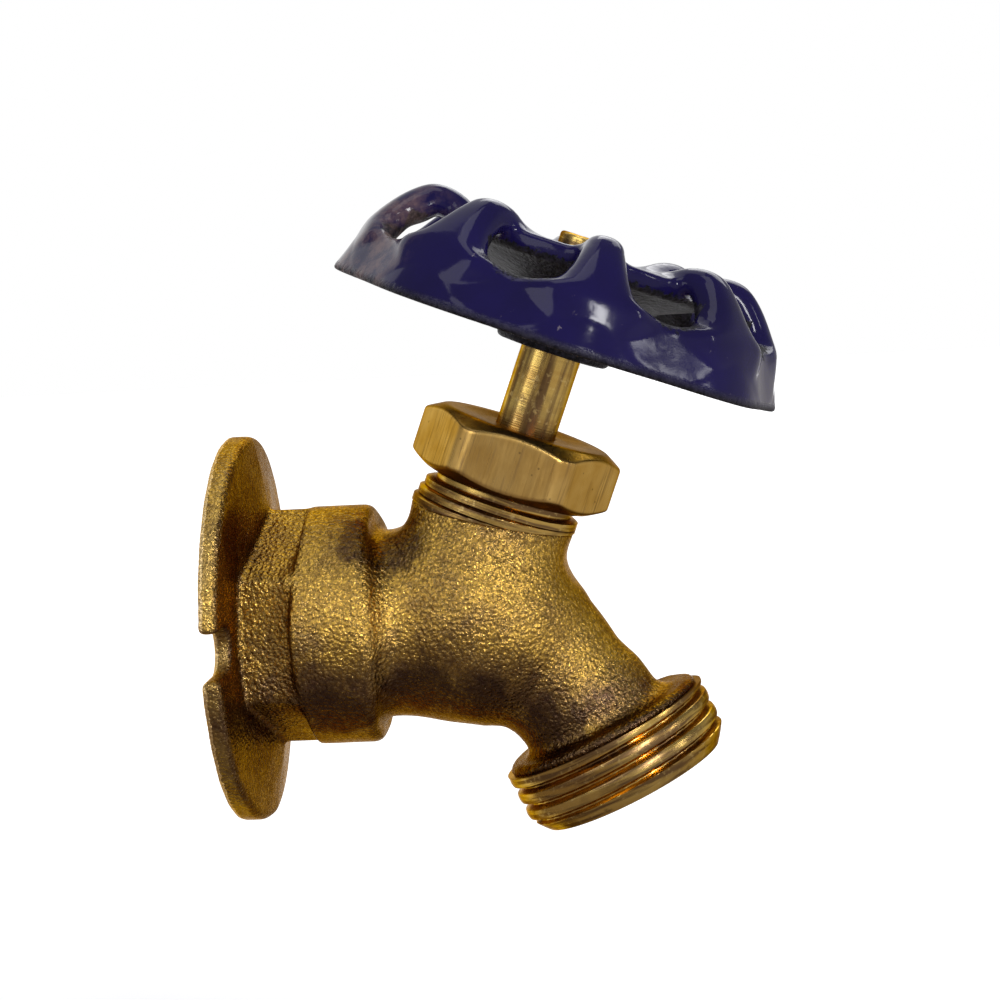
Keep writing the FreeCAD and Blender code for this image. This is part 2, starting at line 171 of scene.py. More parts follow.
# reflected colours of the brass, from its clean turned faces to its patina, which also stands for painted
# shade, and the tint at its edges
CLEAN = (0.59, 0.365, 0.095)
YELLOW = (0.75, 0.52, 0.15)
CAST = (0.64, 0.39, 0.074)
PALE = (0.82, 0.60, 0.24)
PATINA_AND_SHADE = (0.165, 0.092, 0.050)
DEEP = (0.062, 0.034, 0.026)
EDGE_TINT = (0.57, 0.37, 0.14)
# the bare turned edge at the wall, painted bright as a highlight
WALL_EDGE_HIGHLIGHT = (0.92, 0.66, 0.30)
# the nut's light and dark tones, and the dark of its painted shade on top and underneath
NUT_DARK, NUT_LIGHT, NUT_SHADE = (0.58, 0.345, 0.090), (0.72, 0.47, 0.15), (0.085, 0.046, 0.028)
# colours of the enamel, the rough black of its painted shade, its chips and its painted reflection, and of
# rubber and floor
NAVY_DARK, NAVY_LIGHT = (0.0082, 0.0062, 0.033), (0.0100, 0.0068, 0.060)
SHADE_DARK, SHADE_LIGHT = (0.0025, 0.0023, 0.0045), (0.018, 0.015, 0.025)
CHIP, PAINTED_REFLECTION = (0.20, 0.17, 0.19), (0.24, 0.15, 0.13)
RUBBER_DARK, RUBBER_LIGHT = (0.012, 0.012, 0.012), (0.03, 0.03, 0.03)
FLOOR_DARK, FLOOR_LIGHT = (0.86, 0.86, 0.86), (0.88, 0.88, 0.88)

# patina stains on the casting and the painted reflection on the wheel as (x, y, z, radius), in metres
STAINS = [(0.0178, -0.0098, 0.0112, 0.0052), (0.0135, -0.0118, -0.0092, 0.0060),
          (0.0225, -0.0068, 0.0108, 0.0045), (0.0035, -0.0150, 0.0125, 0.0055),
          (0.0385, -0.0085, -0.0150, 0.0070), (0.0240, -0.0105, -0.0075, 0.0055),
          (0.0310, -0.0105, -0.0095, 0.0055)]
PAINTED_REFLECTION_SPOT = (0.0205, -0.010, 0.0475, 0.013)
# where the wheel's painted shade in rough black ends: inside a radius below a height, and on the sills
BLACK_R, BLACK_TOP, SILL_INSET = 22.2, 9.5, 3.1


def smin(a, b, k):
    """Union of two distances with a fillet of about k."""
    h = np.clip(0.5 + 0.5 * (b - a) / k, 0, 1)
    return b + (a - b) * h - k * h * (1 - h)


def smax(a, b, k):
    """Intersection of two distances with an edge rounded by about k."""
    return -smin(-a, -b, k)


def spindle(x, y, z):
    """Across, sideways and along the spindle axis, from a point in the frame."""
    dx = x - STEM_X
    c, s = math.cos(STEM_TILT), math.sin(STEM_TILT)
    return dx * c - z * s, y, dx * s + z * c


def outlet(x, y, z):
    """Across, sideways and along the outlet axis."""
    dx = x - OUT_X
    c, s = math.cos(OUT_TILT), math.sin(OUT_TILT)
    return dx * c + z * s, y, dx * s - z * c


def tapered(x, y, z, a, b):
    """Distance to a rod between two balls."""
    ux, uz = b[0] - a[0], b[1] - a[1]
    t = np.clip(((x - a[0]) * ux + (z - a[1]) * uz) / (ux * ux + uz * uz), 0, 1)
    away = np.sqrt((x - a[0] - t * ux) ** 2 + y * y + (z - a[1] - t * uz) ** 2)
    return away - (a[2] + t * (b[2] - a[2]))


def sideways(y, z):
    """Share from 0 above and below the inlet's axis to 1 beside it."""
    return y * y / (y * y + z * z + 0.01)


def skin_top(across):
    """Height on the neck at which the cast skin gives way to the turned rings."""
    return RING_LOW + SKIN_CLIMB * np.maximum(across - SKIN_FROM, 0)


def dent(x, y, z, at, reach, depth):
    """Soft dent round a place (x, z) of the symmetry plane."""
    near = ((x - at[0]) / reach) ** 2 + ((z - at[1]) / reach) ** 2 + (y / (DENT_WIDE * reach)) ** 2
    return depth * np.exp(-near)


def uneven(a, b, c, rates, starts):
    """Gentle waves over a casting, between -1 and 1."""
    waves = [np.sin(rate * p + start) for p, rate, start in zip((a, b, c), rates, starts)]
    return waves[0] * waves[1] * waves[2]


def flange_and_hub(x, y, z):
    """Distance to the slotted flange and the hub with its flats."""
    r = np.hypot(y, z)
    front = np.interp(r, (HUB_R, FLANGE_R), (FLANGE_HUB, FLANGE_EDGE))
    front = front + FLANGE_DRAFT * (DRAFT_LEVEL - np.abs(y) / FLANGE_R)
    inward = np.clip((FLANGE_R - r) / (FLANGE_R - HUB_R), 0, 1)
    front = front - FLANGE_HOLLOW * sideways(y, z) * inward
    flange = smax(smax(r - FLANGE_R, -x, 0.5), x - front, FLANGE_ROUND)
    slot = np.hypot(np.maximum(SLOT_FLOOR + SLOT_W / 2 - np.abs(y), 0), z) - SLOT_W / 2
    flange = smax(flange, -slot, SLOT_ROUND)
    c, s = math.cos(math.pi / 3), math.sin(math.pi / 3)
    slanted = np.maximum(np.abs(c * y + s * z), np.abs(c * y - s * z))
    hexagon = np.maximum(np.abs(y), slanted) - FLAT_HALF
    cut = smax(smax(-hexagon, x - FLAT_END, 0.6), FLAT_LOW - x, 0.5)
    hub = smax(smax(r - HUB_R, x - HUB_END, HUB_ROUND), -cut, 0.5)
    return smin(flange, smax(hub, -x, 0.1), HUB_FILLET)


def globe_and_arm(x, y, z):
    """Distance to the tube, the globe, the neck's cast foot and the bent arm."""
    tube = smax(np.hypot(y, z) - TUBE_R, np.maximum(TUBE_FROM - x, x - TUBE_TO), 0.5)
    globe = np.sqrt((x - GLOBE[0]) ** 2 + y * y + (z - GLOBE[1]) ** 2) - GLOBE[2]
    d = smin(tube, globe, GLOBE_FILLET)
    across, side, along = spindle(x, y, z)
    ends = np.maximum(along - skin_top(across), -along)
    d = smin(d, smax(np.hypot(across + NECK_OFFSET, side) - NECK_R, ends, 0.2), NECK_FILLET)
    for low, high, fillet in zip(ARM[:-1], ARM[1:], ARM_FILLETS):
        d = smin(d, tapered(x, y, z, low, high), fillet)
    return d


def waterway(x, y, z):
    """Distance to the room inside the casting."""
    r = np.hypot(y, z)
    across, side, up = spindle(x, y, z)
    radial = np.hypot(across, side)
    across, side, along = outlet(x, y, z)
    bell_r = np.interp(along, BELL_S, (THROAT_R, OUT_BORE_R))
    bell = np.maximum(np.hypot(across, side) - bell_r, BELL_S[0] - along)
    inlet = np.maximum(r - INLET_R - PIPE_DEPTH, x - INLET_DEPTH)
    front_room = np.maximum(r - ROOM_R, x - HUB_END)
    lower = smax(np.maximum(r - ROOM_R, x - ROOM_END), up - ROOM_TOP, 0.5)
    upper = np.maximum(np.maximum(radial - UPPER_R, up - UPPER_TOP), UPPER_LOW - up)
    neck = np.maximum(radial - NECK_BORE, BORE_LOW - up)
    seat = np.maximum(radial - SEAT_R, np.maximum(up - SEAT_TOP, SEAT_LOW - up))
    void = smin(bell, tapered(x, y, z, *PASSAGE), 1.0)
    for room in (inlet, front_room, lower, upper, neck, seat):
        void = np.minimum(void, room)
    return void


def casting(x, y, z):
    """Distance to the cast body without its turned ends."""
    waist = WAIST_FILLET + WAIST_SIDE * sideways(y, z)
    d = smin(flange_and_hub(x, y, z), globe_and_arm(x, y, z), waist)
    across, side, along = outlet(x, y, z)
    ends = np.maximum(COLLAR_S - along, along - THREAD_S - 0.2)
    d = smin(d, smax(np.hypot(across, side) - COLLAR_R, ends, COLLAR_ROUND), COLLAR_FILLET)
    for at, reach, depth in DENTS:
        d = d + dent(x, y, z, at, reach, depth)
    d = d + CAST_UNEVEN - CAST_UNEVEN * uneven(x, y, z, *CAST_WAVES)
    return np.maximum(smax(d, -waterway(x, y, z), 0.3), -x)


def finger_line():
    """Middle line of a finger as (radius, height, half depth, half width), and its outer line."""
    rows = np.array(FINGER)
    ends = np.vstack([2 * rows[0] - rows[1], rows, 2 * rows[-1] - rows[-2]])
    line = []
    for k in range(len(rows) - 1):
        p, q, u, v = ends[k:k + 4]
        for t in np.linspace(0, 1, 5, endpoint=False):
            line.append(q + t * (u - p) / 2 + t * t * (p - 2.5 * q + 2 * u - v / 2)
                        + t ** 3 * (1.5 * (q - u) + (v - p) / 2))
    line = np.array(line + [rows[-1]])
    top = np.column_stack([RIM_R - line[:, 0], line[:, 1]])
    run = np.gradient(top, axis=0)
    run /= np.hypot(run[:, 0], run[:, 1])[:, None]
    out = np.column_stack([run[:, 1], -run[:, 0]])
    return np.column_stack([top - out * line[:, 2:3] / 2, line[:, 2] / 2, line[:, 3]]), top


LINE, RISING = finger_line()
# only the part of the outer line that rises, up to its top
RISING = RISING[:RISING[:, 1].argmax() + 1]


def finger(r, across, h):
    """Distance to the finger nearest to a point of the wheel."""
    best = np.full(r.shape, 1e9)
    for (r0, h0, d0, w0), (r1, h1, d1, w1) in zip(LINE[:-1], LINE[1:]):
        ur, uh = r1 - r0, h1 - h0
        t = np.clip(((r - r0) * ur + (h - h0) * uh) / (ur * ur + uh * uh), 0, 1)
        depth, width = d0 + t * (d1 - d0), w0 + t * (w1 - w0)
        flat = np.hypot(r - r0 - t * ur, h - h0 - t * uh) / depth
        side = np.abs(across) / width
        section = (flat ** SQUARENESS + side ** SQUARENESS) ** (1 / SQUARENESS)
        best = np.minimum(best, (section - 1) * np.minimum(depth, width))
    return best


def web_and_boss(r, h):
    """Distance to the wheel's web with the cone under it and the boss."""
    web = smax(smax(r - WEB_R, h - WEB_TOP, WEB_ROUND), WEB_LOW - h, WEB_ROUND)
    cone_r = WEB_R - CONE_INSET
    under = (CONE_LOW + (WEB_LOW - CONE_LOW) * (r - BOSS_R) / (cone_r - BOSS_R) - h) * WALL_SLOPE
    cone = smax(smax(r - cone_r, h - WEB_TOP + 0.5, 0.5), under, 0.5)
    boss = smax(r - BOSS_R, np.maximum(BOSS_LOW - h, h - WEB_TOP + 1), WEB_ROUND)
    return smin(smin(web, cone, 0.6), boss, WEB_BLEND)


def wheel_holes(a, b, s):
    """Distance to the holes for the tang, the rod's end and the screw."""
    r = np.hypot(a, b)
    c, n = math.cos(WHEEL_TURN), math.sin(WHEEL_TURN)
    square = np.maximum(np.abs(a * c + b * n), np.abs(b * c - a * n)) - TANG_AF / 2 - CLEAR
    tang = np.maximum(square, s - TANG_TOP - 0.5)
    rod = np.maximum(r - ROD_R - CLEAR, s - WHEEL_S + 0.9)
    head = np.maximum(r - HEAD_R - HEAD_ROOM, WHEEL_S + SCREW_SEAT - s)
    return np.minimum(np.minimum(tang, rod), np.minimum(r - SHANK_HOLE_R, head))


def wheel(x, y, z):
    """Distance to the cast handwheel."""
    a, b, s = spindle(x, y, z)
    c, n = math.cos(WHEEL_LEAN), math.sin(WHEEL_LEAN)
    up = s - WHEEL_S - CONE_LOW
    deep, h = b * c - up * n, b * n + up * c + CONE_LOW
    r = np.hypot(a, deep)
    azimuth = np.arctan2(a, -deep)
    left = np.clip(np.cos(azimuth - DIP_AT), 0, 1)
    facing = np.clip(0.5 + 1.5 * np.cos(azimuth), 0, 1)
    sector = 2 * math.pi / LOBES
    turn = (azimuth - WHEEL_TURN + sector / 2) % sector - sector / 2
    lobe = SCALLOP * np.cos(LOBES * turn)
    lean = SKIRT_LEAN / (SKIRT_TOP - SKIRT_LOW) * (h - SKIRT_LOW)
    outer = (r - RIM_R - lobe + lean) * WALL_SLOPE
    inner = (RIM_R - SKIRT_T - lean - r) * WALL_SLOPE
    wall = smax(inner, h - SKIRT_TOP + DIP_DEPTH * left ** 5, 1.3)
    skirt = smax(smax(outer, SKIRT_LOW - h, 0.9), wall, 1.0)
    broad = 1 + BROAD * facing * np.interp(h, BROAD_BAND, (0, 1, 1, 0))
    sunk = SUNK_DEPTH * np.clip(np.cos(azimuth - SUNK_AT), 0, 1) ** 2
    sunk = sunk * np.clip((h - SUNK_FROM) / SUNK_OVER, 0, 1)
    arm = finger(r * np.cos(turn), r * np.sin(turn) / broad, h + sunk)
    near = ((r - CARVE_AT[0]) / CARVE_REACH[0]) ** 2 + ((h - CARVE_AT[1]) / CARVE_REACH[1]) ** 2
    arm = smax(arm + CARVE_DEPTH * left ** 4 * np.exp(-near), 0.6 - h, 1.0)
    fillet = np.interp(h, FILLET_AT, FILLETS) * (1 + FRONT_FILLET * facing)
    d = smin(smin(skirt, arm, fillet), web_and_boss(r, h), WEB_BLEND)
    reach = np.interp(h, RISING[:, 1], RISING[:, 0])
    reach = np.maximum(reach, RIM_R + lobe - lean - SHOULDER * np.maximum(h - SKIRT_TOP, 0))
    d = smax(d, (r - reach + REACH_SHRINK) * SHELL_SLOPE, 0.3)
    d = d + WHEEL_SHRINK - WHEEL_UNEVEN * uneven(a, b, h, *WHEEL_WAVES)
    return smax(d, -wheel_holes(a, b, s), 0.15)


def nut(x, y, z):
    """Distance to the packing nut."""
    a, b, s = spindle(x, y, z)
    r = np.hypot(a, b)
    sixth = math.pi / 3
    turn = (np.arctan2(b, a) - NUT_TURN) % sixth - sixth / 2
    flat = r * np.cos(turn) - NUT_AF / 2
    slope, true = math.tan(NUT_CHAMFER), math.cos(NUT_CHAMFER)
    top = (s - NUT_TOP + (r - NUT_END_R) * slope) * true
    low = (NUT_LOW - s + (r - NUT_END_R) * slope) * true
    d = smax(smax(flat, r - NUT_R, 0.25), smax(top, low, 0.2), 0.3)
    dish = s - NUT_TOP + DISH * np.clip((DISH_R - r) / DISH_WIDE, 0, 1)
    d = smax(d, smax(dish, NUT_LOW - s, 0.2), 0.25)
    bore = np.maximum(r - NECK_THREAD_R - CLEAR, s - NUT_THREAD_TOP)
    bore = np.minimum(bore, np.maximum(r - NUT_ROOM_R, s - NUT_ROOM_TOP))
    return smax(d, -np.minimum(bore, r - ROD_R - CLEAR), 0.15)


def screw(x, y, z):
    """Distance to the screw on the wheel."""
    a, b, s = spindle(x, y, z)
    r = np.hypot(a, b)
    seat = WHEEL_S + SCREW_SEAT
    top = seat + HEAD_T + HEAD_CROWN
    head = smax(smax(r - HEAD_R, s - top, 0.5), seat - s, 0.1)
    across = np.abs(b * SCREW_ACROSS[1] + a * SCREW_ACROSS[0]) - SCREW_SLOT / 2
    head = smax(head, -smax(across, top - SCREW_SLOT - s, 0.1), 0.15)
    shank = np.maximum(r - SHANK_R, np.maximum(s - seat - 0.5, TANG_TOP - SHANK_DEEP - s))
    return np.minimum(head, shank)


def gradient(field, p):
    """Slope of a distance at points."""
    e = 0.02
    out = np.empty_like(p)
    for k in range(3):
        q = p.copy()
        q[:, k] += e
        high = field(*q.T)
        q[:, k] -= 2 * e
        out[:, k] = (high - field(*q.T)) / (2 * e)
    return out


def crossings(grid, cells):
    """Mean place, in cells, of where the cells' edges cross the zero level."""
    where, hits = np.zeros((len(cells), 3)), np.zeros(len(cells))
    for axis in range(3):
        side = [k for k in range(3) if k != axis]
        for i in (0, 1):
            for j in (0, 1):
                p = cells.copy()
                p[:, side[0]] += i
                p[:, side[1]] += j
                q = p.copy()
                q[:, axis] += 1
                u, v = grid[tuple(p.T)], grid[tuple(q.T)]
                cross = (u < 0) != (v < 0)
                t = np.where(cross, u / np.where(cross, u - v, 1), 0)
                point = p.astype(float)
                point[:, axis] += t
                where[cross] += point[cross]
                hits[cross] += 1
    return where / hits[:, None]


def faces_across(inside, index):
    """A quad round each grid edge that leaves the solid, turned outwards."""
    quads = []
    for axis in range(3):
        one, two = (axis + 1) % 3, (axis + 2) % 3
        first, second = [slice(None)] * 3, [slice(None)] * 3
        first[axis], second[axis] = slice(0, -1), slice(1, None)
        edge = np.argwhere(inside[tuple(first)] != inside[tuple(second)])
        out = inside[tuple(edge.T)]
        ring = []
        for i, j in ((1, 1), (0, 1), (0, 0), (1, 0)):
            cell = edge.copy()
            cell[:, one] -= i
            cell[:, two] -= j
            ring.append(index[tuple(cell.T)])
        ring = np.stack(ring, 1)
        quads.append(np.where(out[:, None], ring, ring[:, ::-1]))
    return np.concatenate(quads)


def surface(field, low, high, step):
    """Vertices and quads of the field's zero level, one vertex in each cell that it crosses."""
    low = np.array(low, float) - 2 * step
    count = np.ceil((np.array(high) + 2 * step - low) / step).astype(int) + 1
    axes = [low[k] + step * np.arange(count[k]) for k in range(3)]
    grid = np.empty(count, np.float32)
    for i in range(0, count[0], 16):
        xs, ys, zs = np.meshgrid(axes[0][i:i + 16], axes[1], axes[2], indexing="ij")
        grid[i:i + 16] = field(xs, ys, zs)
    inside = grid < 0
    total = np.zeros(count - 1, np.int8)
    for i in (0, 1):
        for j in (0, 1):
            for k in (0, 1):
                total += inside[i:count[0] - 1 + i, j:count[1] - 1 + j, k:count[2] - 1 + k]
    mixed = (total > 0) & (total < 8)
    index = np.full(mixed.shape, -1, np.int64)
    index[mixed] = np.arange(mixed.sum())
    points = low + step * crossings(grid, np.argwhere(mixed))
    # three pulls onto the zero level, each by less than half a cell
    for _ in range(3):
        slope = gradient(field, points)
        size = np.maximum((slope ** 2).sum(1), 0.2)
        move = -(field(*points.T) / size)[:, None] * slope
        points = points + np.clip(move, -0.4 * step, 0.4 * step)
    return points, faces_across(inside, index)


def add_mesh(name, points, quads, body, material, node=None, sharp=None):
    """Make a smooth-shaded mesh from millimetre points and let it ride on a body."""
    mesh = bpy.data.meshes.new(name)
    mesh.vertices.add(len(points))
    mesh.vertices.foreach_set("co", (np.asarray(points) * MM).astype(np.float32).ravel())
    mesh.loops.add(quads.size)
    mesh.loops.foreach_set("vertex_index", quads.astype(np.int32).ravel())
    mesh.polygons.add(len(quads))
    mesh.polygons.foreach_set("loop_start", np.arange(0, quads.size, 4, dtype=np.int32))
    mesh.update(calc_edges=True)
    mesh.validate()
    mesh.polygons.foreach_set("use_smooth", np.ones(len(mesh.polygons), bool))
    if sharp:
        mesh.set_sharp_from_angle(angle=math.radians(sharp))
    piece = bpy.data.objects.new(name, mesh)
    bpy.context.collection.objects.link(piece)
    mesh.materials.append(material)
    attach(piece, body)
    if node:
        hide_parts(node)


def from_field(name, field, node, step, body, material):
    """Piece whose surface is the zero level of a field, in the box of the CAD node it stands for."""
    low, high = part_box(node)
    points, quads = surface(field, [c / MM for c in low], [c / MM for c in high], step)
    add_mesh(name, points, quads, body, material, node)


def lathe(outer, inner, low, high, rows, cols):
    """Ring between two radii that depend on height and angle, as points round Z and quads."""
    heights = np.linspace(low, high, rows)
    angles = np.linspace(0, 2 * math.pi, cols, endpoint=False)
    s, t = np.meshgrid(heights, angles, indexing="ij")
    sheets = []
    for radius in (outer(s, t), inner(s, t)):
        sheets.append(np.stack([radius * np.cos(t), radius * np.sin(t), s], 2).reshape(-1, 3))
    points = np.concatenate(sheets)
    i, j = np.meshgrid(np.arange(rows - 1), np.arange(cols), indexing="ij")
    i, j = i.ravel(), j.ravel()
    k = (j + 1) % cols
    wall = np.stack([i * cols + j, i * cols + k, (i + 1) * cols + k, (i + 1) * cols + j], 1)
    shift = rows * cols
    back = wall[:, ::-1] + shift
    j = np.arange(cols)
    k = (j + 1) % cols
    foot = np.stack([j, j + shift, k + shift, k], 1)
    last = (rows - 1) * cols
    head = np.stack([last + k, last + k + shift, last + j + shift, last + j], 1)
    return points, np.concatenate([wall, back, foot, head])


def turned_ring(name, outer, inner, low, high, rows, cols, place, material):
    """Lathe ring of the valve, moved to its place by a matrix in metres."""
    points, quads = lathe(outer, inner, low, high, rows, cols)
    matrix = np.array(place)
    points = points @ matrix[:3, :3].T + matrix[:3, 3] / MM
    add_mesh(name, points, quads, "valve", material, sharp=THREAD_SHARP)


def even(radius):
    """A radius that is the same all over a ring."""
    return lambda s, t: np.full_like(s, radius)


def thread(s, t, pitch, depth, crest=0.5):
    """Thread form, 0 at the crest and -depth at the root; crest is its share of the pitch."""
    phase = (s / pitch - t / (2 * math.pi)) % 1.0
    wave = 2 * np.abs(phase - 0.5)
    crown = CROWN * np.minimum(wave / crest, 1) ** 2
    flank = np.clip((wave - crest) / (FLANK_END - crest), 0, 1) ** FLANK_CURVE
    return -depth * (crown + (1 - crown) * flank)


def hose_thread(material):
    """The outlet's turned end with the hose thread and a rounded nose."""
    nose_over, nose_drop = 2.3, 1.6

    def outer(s, t):
        fade = np.clip((s - THREAD_S + 0.2) / 0.6, 0, 1)
        crest = HOSE_R + thread(s, t, HOSE_PITCH, HOSE_DEPTH, HOSE_CREST) * fade
        end = np.clip((OUT_END - s) / nose_over, 0, 1)
        return np.minimum(crest, HOSE_R - nose_drop * (1 - end) ** 1.2)

    place = Matrix.Translation((OUT_X * MM, 0, 0)) @ Matrix.Rotation(math.pi - OUT_TILT, 4, "Y")
    turned_ring("hose_thread", outer, even(OUT_BORE_R), THREAD_S - 0.3, OUT_END, 150, 300, place, material)


def neck_rings(material):
    """The neck's turned end: rings that dive under the cast skin, a groove and the nut's thread."""
    top = RING_LOW + len(RINGS) * RING_PITCH
    groove = 0.7
    root = NECK_THREAD_R - NECK_THREAD_DEPTH

    def outer(s, t):
        skin_r = -NECK_OFFSET * np.cos(t) + np.sqrt(NECK_R ** 2 - (NECK_OFFSET * np.sin(t)) ** 2)
        step = np.clip(((s - RING_LOW) / RING_PITCH).astype(int), 0, len(RINGS) - 1)
        local = (s - RING_LOW) / RING_PITCH - step
        ring = np.array(RINGS)[step] - RING_GROOVE * np.clip((local - 0.66) / 0.34, 0, 1) ** 1.3
        screwed = NECK_THREAD_R + thread(s, t, NECK_THREAD_PITCH, NECK_THREAD_DEPTH)
        screwed = screwed - 0.5 * np.clip((s - NECK_TOP + 0.5) / 0.5, 0, 1)
        r = np.where(s < top, ring, np.where(s < top + groove, root, screwed))
        r = np.minimum(r, skin_r + 0.02)
        return r - 0.8 * np.clip((skin_top(r * np.cos(t)) - CLEAR - s) / 0.35, 0, 1)

    place = Matrix.Translation((STEM_X * MM, 0, 0)) @ Matrix.Rotation(STEM_TILT, 4, "Y")
    turned_ring("neck_rings", outer, even(NECK_BORE), RING_LOW - 0.3, NECK_TOP, 160, 160, place, material)


def pipe_thread(material):
    """The inlet's tapped hole, chamfered at the wall."""
    chamfer, chamfer_over = 0.7, 0.9

    def inner(s, t):
        cut = thread(s, t, PIPE_PITCH, PIPE_DEPTH) * np.clip(s / 0.8, 0, 1)
        return INLET_R - cut + chamfer * np.clip((chamfer_over - s) / chamfer_over, 0, 1)

    place = Matrix.Rotation(math.pi / 2, 4, "Y")
    outer = even(INLET_R + PIPE_DEPTH + 0.3)
    turned_ring("pipe_thread", outer, inner, 0.05, INLET_DEPTH, 120, 160, place, material)


class Look:
    """Short way to build a material's nodes."""

    # axes of the symmetry plane as the X of their origin in millimetres and their tilt
    SPINDLE = STEM_X, STEM_TILT
    OUTLET = OUT_X, -OUT_TILT

    def __init__(self, name):
        self.material = bpy.data.materials.new(name)
        self.material.use_nodes = True
        self.nodes = self.material.node_tree.nodes
        self.links = self.material.node_tree.links
        self.shader = self.nodes["Principled BSDF"]
        source = self.nodes.new("ShaderNodeTexCoord")
        self.place, self.normal = source.outputs["Object"], source.outputs["Normal"]

    def feed(self, value, socket):
        """Link an output to a socket, or set the socket to a number or a colour."""
        if isinstance(value, bpy.types.NodeSocket):
            self.links.new(value, socket)
        elif isinstance(value, tuple):
            socket.default_value = (*value, 1)
        else:
            socket.default_value = value

    def noise(self, scale, detail=2.0, rough=0.5, vector=None):
        """Noise that is about 0.5 in the mean."""
        node = self.nodes.new("ShaderNodeTexNoise")
        node.inputs["Scale"].default_value = scale
        node.inputs["Detail"].default_value = detail
        node.inputs["Roughness"].default_value = rough
        self.feed(vector or self.place, node.inputs["Vector"])
        return node.outputs["Fac"]

    def cells(self, scale):
        """Distance from the middle of the nearest of many random cells."""
        node = self.nodes.new("ShaderNodeTexVoronoi")
        node.inputs["Scale"].default_value = scale
        self.feed(self.place, node.inputs["Vector"])
        return node.outputs["Distance"]

    def ramp(self, value, stops):
        """Colour between stops, each a place and a colour."""
        node = self.nodes.new("ShaderNodeValToRGB")
        elements = node.color_ramp.elements
        while len(elements) < len(stops):
            elements.new(0.5)
        for element, (place, colour) in zip(elements, stops):
            element.position = place
            element.color = (*colour, 1)
        self.feed(value, node.inputs["Fac"])
        return node.outputs["Color"]

    def mix(self, factor, a, b):
        """Colour from a to b."""
        node = self.nodes.new("ShaderNodeMix")
        node.data_type = "RGBA"
        self.feed(factor, node.inputs["Factor"])
        self.feed(a, node.inputs[6])
        self.feed(b, node.inputs[7])
        return node.outputs[2]

    def math(self, operation, a, b):
        """One of the math node's operations on two values."""
        node = self.nodes.new("ShaderNodeMath")
        node.operation = operation
        self.feed(a, node.inputs[0])
        self.feed(b, node.inputs[1])
        return node.outputs[0]

    def plus(self, a, b):
        return self.math("ADD", a, b)

    def times(self, a, b):
        return self.math("MULTIPLY", a, b)

    def most(self, a, b):
        return self.math("MAXIMUM", a, b)

    def below(self, a, b):
        """1 where a is less than b, and 0 elsewhere."""
        return self.math("LESS_THAN", a, b)

    def span(self, value, low, high, to_low=0.0, to_high=1.0):
        """A value's range from low to high, spread over another range."""
        node = self.nodes.new("ShaderNodeMapRange")
        for key, number in (("From Min", low), ("From Max", high), ("To Min", to_low), ("To Max", to_high)):
            node.inputs[key].default_value = number
        self.feed(value, node.inputs["Value"])
        return node.outputs["Result"]

    def split(self, vector):
        """A vector's parts, by the names X, Y and Z."""
        node = self.nodes.new("ShaderNodeSeparateXYZ")
        self.feed(vector, node.inputs[0])
        return node.outputs

    def bump(self, height, strength, distance, below=None):
        """Normal of a relief, laid over another normal if there is one below."""
        node = self.nodes.new("ShaderNodeBump")
        node.inputs["Strength"].default_value = strength
        node.inputs["Distance"].default_value = distance
        self.feed(height, node.inputs["Height"])
        if below:
            self.feed(below, node.inputs["Normal"])
        return node.outputs["Normal"]

    def blend_normal(self, factor, a, b):
        """Normal from a to b."""
        node = self.nodes.new("ShaderNodeMix")
        node.data_type = "VECTOR"
        self.feed(factor, node.inputs[0])
        self.feed(a, node.inputs[4])
        self.feed(b, node.inputs[5])
        return node.outputs[1]

    def radius(self, vector):
        """Distance from the Z axis of a vector's space."""
        node = self.nodes.new("ShaderNodeVectorMath")
        node.operation = "MULTIPLY"
        node.inputs[1].default_value = (1, 1, 0)
        self.feed(vector, node.inputs[0])
        size = self.nodes.new("ShaderNodeVectorMath")
        size.operation = "LENGTH"
        self.feed(node.outputs[0], size.inputs[0])
        return size.outputs["Value"]

    def spot(self, place, weight, ragged=None):
        """Soft round patch at a place (x, y, z, radius), times a weight, with a ragged rim."""
        x, y, z, size = place
        node = self.nodes.new("ShaderNodeVectorMath")
        node.operation = "DISTANCE"
        node.inputs[1].default_value = (x, y, z)
        self.feed(self.place, node.inputs[0])
        reach = node.outputs["Value"]
        if ragged:
            reach = self.plus(reach, self.span(ragged, 0.3, 0.7, -0.35 * size, 0.35 * size))
        return self.times(self.span(reach, size, 0.6 * size), weight)

    def moved(self, vector, location=(0, 0, 0), rotation=(0, 0, 0), scale=(1, 1, 1)):
        """A vector that is scaled, turned and moved."""
        node = self.nodes.new("ShaderNodeMapping")
        node.inputs["Location"].default_value = location
        node.inputs["Rotation"].default_value = rotation
        node.inputs["Scale"].default_value = scale
        self.feed(vector, node.inputs["Vector"])
        return node.outputs["Vector"]

    def along(self, axis, across=1, length=1):
        """Coordinates with an axis as Z, stretched; on the outlet Z runs back towards the arm."""
        x, tilt = axis
        location = (-x * MM * math.cos(tilt), 0, -x * MM * math.sin(tilt))
        turned = self.moved(self.place, location, (0, -tilt, 0))
        return self.moved(turned, scale=(across, across, length))

    def wheel_space(self):
        """Coordinates of the handwheel: its leaning axis is Z and its height starts at WHEEL_S."""
        level = self.moved(self.along(self.SPINDLE), (0, 0, -(WHEEL_S + CONE_LOW) * MM))
        return self.moved(level, (0, 0, CONE_LOW * MM), (WHEEL_LEAN, 0, 0))

    def finish(self, colour, roughness, normal=None, metallic=1.0):
        """Set the shader, with the brass's tint at grazing angles on metal, and return the material."""
        self.shader.inputs["Metallic"].default_value = metallic
        if metallic:
            self.shader.inputs["Specular Tint"].default_value = (*EDGE_TINT, 1)
        self.feed(colour, self.shader.inputs["Base Color"])
        self.feed(roughness, self.shader.inputs["Roughness"])
        if normal:
            self.feed(normal, self.shader.inputs["Normal"])
        return self.material


